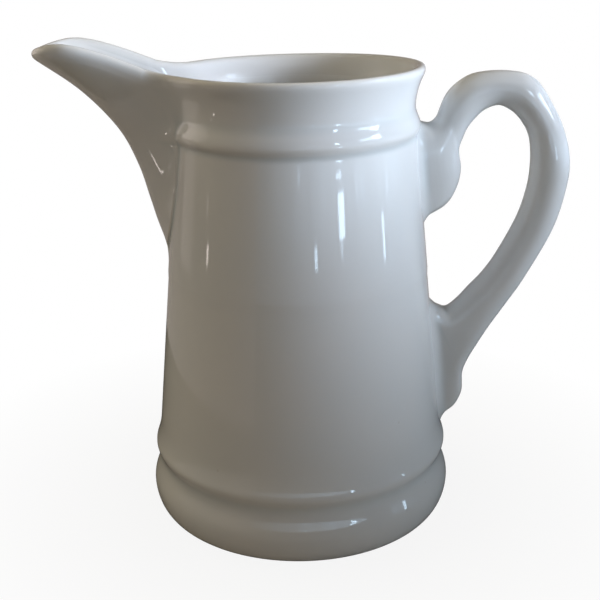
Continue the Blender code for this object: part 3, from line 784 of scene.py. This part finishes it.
bodyGlaze = makeGlaze("bodyGlaze", whiteGlaze, True)
plainGlaze = makeGlaze("plainGlaze", whiteGlaze, False)
bpy.data.objects["bodyGlazed"].data.materials.append(bodyGlaze)
for pieceName in ("spoutGlazed", "handleGlazed", "spoutSeamGlazed", "upperRootSlip", "lowerRootSlip"):
    bpy.data.objects[pieceName].data.materials.append(plainGlaze)
print("glazes made")


# the photograph's viewpoint: mm, degrees, and the lens in pixels of a 600 pixel frame
viewpoint = dict(
    place=(0.0, -413.376, 237.824), yaw=0.10, pitch=19.49, roll=-0.82,
    focalPixels=1008.0, framePixels=600.0, sensorWidth=36.0, nearest=10.0,
)


# camera axes from yaw and pitch, then turned about the line of sight by the roll
def makeCamera():
    yaw, pitch, roll = (math.radians(viewpoint[key]) for key in ("yaw", "pitch", "roll"))
    ahead = np.array([math.sin(yaw) * math.cos(pitch), math.cos(yaw) * math.cos(pitch), -math.sin(pitch)])
    right = np.array([math.cos(yaw), -math.sin(yaw), 0.0])
    up = np.cross(right, ahead)
    rolledRight = math.cos(roll) * right + math.sin(roll) * up
    rolledUp = -math.sin(roll) * right + math.cos(roll) * up
    data = bpy.data.cameras.new("camera")
    data.sensor_width = viewpoint["sensorWidth"]
    data.lens = viewpoint["focalPixels"] / viewpoint["framePixels"] * data.sensor_width
    data.clip_start = viewpoint["nearest"] * mm
    camera = bpy.data.objects.new("camera", data)
    bpy.context.scene.collection.objects.link(camera)
    turn = Matrix(np.stack([rolledRight, rolledUp, -ahead], 1).tolist())
    camera.matrix_world = Matrix.Translation([value * mm for value in viewpoint["place"]]) @ turn.to_4x4()
    bpy.context.scene.camera = camera


makeCamera()


# studio: colours are linear, sizes in metres, angles in degrees from the camera round towards the handle
studio = dict(
    horizon=(0.32, 0.29, 0.26), zenith=(0.02, 0.019, 0.018), skyline=0.15, backdrop=(1.0, 1.0, 1.0),
    floorSize=6.0, floorColour=(0.55, 0.50, 0.43), shadowShare=0.10, shadowReach=(0.066, 0.20),
)
# lamps: angle, distance, height, upward tilt, beam width, power; the windows' narrow beams are turned up so
# that the foot lies in their fringe, the room is dim and warm
lampSize = (0.6, 0.4)
lamps = dict(
    sideWindow=dict(angle=80.0, away=0.85, height=0.50, tilt=6.0, spread=60.0,
                    power=5.3, colour=(0.82, 0.87, 1.0)),
    frontWindow=dict(angle=65.0, away=0.85, height=0.34, tilt=12.0, spread=60.0,
                     power=1.66, colour=(0.63, 0.80, 1.0)),
    lowWindow=dict(angle=90.0, away=0.85, height=0.03, tilt=15.0, spread=70.0,
                   power=0.75, colour=(0.60, 0.80, 1.0)),
    roomTop=dict(angle=-100.0, away=0.5, height=0.8, tilt=-50.0, spread=180.0,
                 power=1.9, colour=(1.0, 0.89, 0.62)),
)
# what the glaze mirrors: cards and a mat that only gloss sees; a wash is a wide glow along a card, a pane a
# brighter patch: angle, half width, lower and upper edge, glow; the low screen is a dark strip in front of
# the lowest panes
frontLight = dict(
    radius=0.75, span=(-75.0, 140.0), rise=(0.0, 0.75), steps=(480, 500), colour=(0.60, 0.80, 1.0), dim=0.33,
    wash=dict(glow=2.1, opens=(-48.0, 45.0), closes=(88.0, 134.0), sill=(0.012, 0.15), fades=(0.165, 0.20),
              bands=((19.0, 0.16, 1.0), (7.7, 0.13, 2.1), (3.9, 0.09, 0.4))),
    panes=((37.7, 2.6, 0.070, 0.1215, 16.0), (37.0, 0.9, 0.053, 0.070, 5.0),
           (36.4, 2.4, 0.1375, 0.1425, 18.0), (15.0, 1.1, 0.048, 0.071, 12.0),
           (78.3, 1.2, 0.014, 0.067, 10.0), (86.0, 1.1, 0.080, 0.104, 5.0),
           (53.0, 0.9, 0.100, 0.137, 2.5), (58.0, 0.9, 0.100, 0.130, 2.5), (2.1, 0.9, 0.141, 0.156, 4.0),
           (11.4, 1.0, 0.34, 0.40, 8.0), (35.3, 1.8, 0.33, 0.47, 20.0),
           (64.0, 6.0, 0.34, 0.46, 9.0), (76.0, 5.0, 0.33, 0.48, 18.0)),
)
roomLight = dict(
    radius=0.26, span=(135.0, 328.0), rise=(0.0, 0.75), steps=(320, 300), colour=(1.0, 0.88, 0.84), dim=0.28,
    panes=((283.5, 0.9, 0.086, 0.099, 8.0), (281.3, 0.9, 0.115, 0.127, 1.2),
           (255.0, 20.0, 0.17, 0.28, 0.9), (255.0, 9.0, 0.07, 0.5, 0.35)),
)
lowScreen = dict(
    radius=0.30, span=(-40.0, 62.0), rise=(0.0, 0.055), steps=(60, 2), colour=(1.0, 0.85, 0.70), dim=0.02,
    panes=(),
)
# how soft a pane's edges are: in half widths sideways, and up and down a share of its height, up to a limit
paneEdge = dict(sideways=(0.7, 1.3), share=0.2, most=0.003)
tableMat = dict(outer=0.74, lift=0.0002, step=5, colour=(0.020, 0.017, 0.014))


# share of rays that see the plain white backdrop: the largest of camera, glossy and transmission
def seesBackdrop(tree):
    rays = addNode(tree, "ShaderNodeLightPath")
    total = rays.outputs["Is Camera Ray"]
    for kind in ("Is Glossy Ray", "Is Transmission Ray"):
        total = reckon(tree, "MAXIMUM", total, rays.outputs[kind])
    return total


# hides an object from all but gloss
def onlyGloss(thing):
    thing.visible_camera = False
    thing.visible_diffuse = False
    thing.visible_shadow = False


# a plain glow: colour times strength, the strength read from a mark on the mesh where one is named
def makeShine(name, colour, mark=None):
    material = bpy.data.materials.new(name)
    material.use_nodes = True
    tree = material.node_tree
    tree.nodes.remove(tree.nodes["Principled BSDF"])
    shine = addNode(tree, "ShaderNodeEmission")
    plug(tree, colour, shine.inputs["Color"])
    if mark:
        plug(tree, marked(tree, mark), shine.inputs["Strength"])
    plug(tree, shine.outputs[0], tree.nodes["Material Output"].inputs["Surface"])
    return material


# a card bent round the jug: a grid of angle along it and height up it, on a cylinder
def bentCard(name, light):
    columns, rows = light["steps"]
    turn, height = np.meshgrid(np.linspace(*light["span"], columns), np.linspace(*light["rise"], rows))
    angle, radius = np.radians(turn), light["radius"]
    points = np.stack([radius * np.sin(angle), -radius * np.cos(angle), height], -1).reshape(-1, 3)
    row, column = np.meshgrid(np.arange(rows - 1), np.arange(columns - 1), indexing="ij")
    corner = (row * columns + column).reshape(-1)
    faces = np.stack([corner, corner + 1, corner + columns + 1, corner + columns], 1)
    mesh = bpy.data.meshes.new(name)
    mesh.from_pydata(points, [], faces)
    card = bpy.data.objects.new(name, mesh)
    bpy.context.scene.collection.objects.link(card)
    onlyGloss(card)
    return card, turn, height


# wide glow along a card: opened and closed along the angle by smooth steps, rising over the sill, falling
# off towards the top, rippled by a few sine bands
def washGlow(wash, turn, height):
    glow = wash["glow"] * smoothStep(turn, *wash["opens"]) * (1 - smoothStep(turn, *wash["closes"]))
    glow = glow * smoothStep(height, *wash["sill"]) * (1 - smoothStep(height, *wash["fades"]))
    ripple = sum(depth * np.sin(2 * np.pi * turn / width + start) for width, depth, start in wash["bands"])
    return glow * (1 + ripple)


# glow of a card at an angle and a height: its dim level, plus its wash, plus its panes with soft edges
def cardGlow(light, turn, height):
    glow = np.full(turn.shape, light["dim"])
    if "wash" in light:
        glow = glow + washGlow(light["wash"], turn, height)
    for middle, half, low, high, level in light["panes"]:
        near, far = (share * half for share in paneEdge["sideways"])
        across = 1 - smoothStep(np.abs(turn - middle), near, far)
        edge = min(paneEdge["share"] * (high - low), paneEdge["most"])
        upright = smoothStep(height, low - edge, low + edge)
        upright = upright * (1 - smoothStep(height, high - edge, high + edge))
        glow = glow + level * across * upright
    return glow


# a bent card that shines by the glow marked on it
def makeGlowCard(name, light):
    card, turn, height = bentCard(name, light)
    layer = card.data.attributes.new("glow", "FLOAT", "POINT")
    layer.data.foreach_set("value", cardGlow(light, turn, height).astype(np.float32).ravel())
    card.data.materials.append(makeShine(name, light["colour"], "glow"))


# a plain round mat just over the floor: one face round a circle
def makeMat():
    angle = np.radians(np.arange(0, 360, tableMat["step"]))
    rim = np.stack([np.cos(angle), np.sin(angle), 0 * angle], 1) * tableMat["outer"]
    rim = rim + (0, 0, tableMat["lift"])
    mesh = bpy.data.meshes.new("tableMat")
    mesh.from_pydata(rim, [], [list(range(len(angle)))])
    mat = bpy.data.objects.new("tableMat", mesh)
    bpy.context.scene.collection.objects.link(mat)
    onlyGloss(mat)
    mesh.materials.append(makeShine("tableMat", tableMat["colour"]))


# floor paper: matt, and seen as white; close to the jug a share of it is seen as matt and holds the shadow
def makeFloor():
    half = studio["floorSize"] / 2
    mesh = bpy.data.meshes.new("floor")
    corners = [(-half, -half, 0), (half, -half, 0), (half, half, 0), (-half, half, 0)]
    mesh.from_pydata(corners, [], [(0, 1, 2, 3)])
    floor = bpy.data.objects.new("floor", mesh)
    bpy.context.scene.collection.objects.link(floor)
    material = bpy.data.materials.new("floorPaper")
    material.use_nodes = True
    tree = material.node_tree
    tree.nodes.remove(tree.nodes["Principled BSDF"])
    matt = addNode(tree, "ShaderNodeBsdfDiffuse")
    plug(tree, studio["floorColour"], matt.inputs["Color"])
    glow = addNode(tree, "ShaderNodeEmission")
    plug(tree, studio["backdrop"], glow.inputs["Color"])
    away = addNode(tree, "ShaderNodeVectorMath", operation="LENGTH")
    plug(tree, addNode(tree, "ShaderNodeTexCoord").outputs["Object"], away.inputs[0])
    share = mapRange(tree, away.outputs["Value"], *studio["shadowReach"], 1 - studio["shadowShare"], 1.0)
    blend = addNode(tree, "ShaderNodeMixShader")
    plug(tree, reckon(tree, "MULTIPLY", seesBackdrop(tree), share), blend.inputs[0])
    plug(tree, matt.outputs[0], blend.inputs[1])
    plug(tree, glow.outputs[0], blend.inputs[2])
    plug(tree, blend.outputs[0], tree.nodes["Material Output"].inputs["Surface"])
    mesh.materials.append(material)


# an area lamp facing the jug's axis from an angle, its beam turned up by the tilt; gloss sees cards instead
def makeLamp(name, light):
    data = bpy.data.lights.new(name, "AREA")
    data.shape = "RECTANGLE"
    data.size, data.size_y = lampSize
    data.energy, data.color = light["power"], light["colour"]
    data.spread = math.radians(light["spread"])
    lamp = bpy.data.objects.new(name, data)
    bpy.context.scene.collection.objects.link(lamp)
    lamp.visible_camera = False
    lamp.visible_glossy = False
    angle, tilt = math.radians(light["angle"]), math.radians(light["tilt"])
    side = np.array([math.sin(angle), -math.cos(angle), 0.0])
    place = side * light["away"] + np.array([0.0, 0.0, light["height"]])
    ahead = -side * math.cos(tilt) + np.array([0.0, 0.0, math.sin(tilt)])
    right = unit(np.cross(ahead, (0.0, 0.0, 1.0)))
    turn = Matrix(np.stack([right, np.cross(right, ahead), -ahead], 1).tolist())
    lamp.matrix_world = Matrix.Translation(place) @ turn.to_4x4()


# the world is a sky that fades from the skyline up to the zenith, seen as the white backdrop; then floor,
# cards, mat and lamps
def makeStudio():
    scene = bpy.context.scene
    scene.view_settings.view_transform = "Standard"
    world = bpy.data.worlds.new("studioWorld")
    scene.world = world
    world.use_nodes = True
    tree = world.node_tree
    background = tree.nodes["Background"]
    background.inputs["Strength"].default_value = 1.0
    aim = addNode(tree, "ShaderNodeSeparateXYZ")
    plug(tree, addNode(tree, "ShaderNodeTexCoord").outputs["Generated"], aim.inputs["Vector"])
    upwards = mapRange(tree, aim.outputs["Z"], studio["skyline"], 1.0, 0.0, 1.0)
    sky = blended(tree, upwards, studio["horizon"], studio["zenith"])
    plug(tree, blended(tree, seesBackdrop(tree), sky, studio["backdrop"]), background.inputs["Color"])
    makeFloor()
    for name, light in (("frontCard", frontLight), ("roomCard", roomLight), ("lowScreen", lowScreen)):
        makeGlowCard(name, light)
    makeMat()
    for name, light in lamps.items():
        makeLamp(name, light)
    print("studio made")


makeStudio()
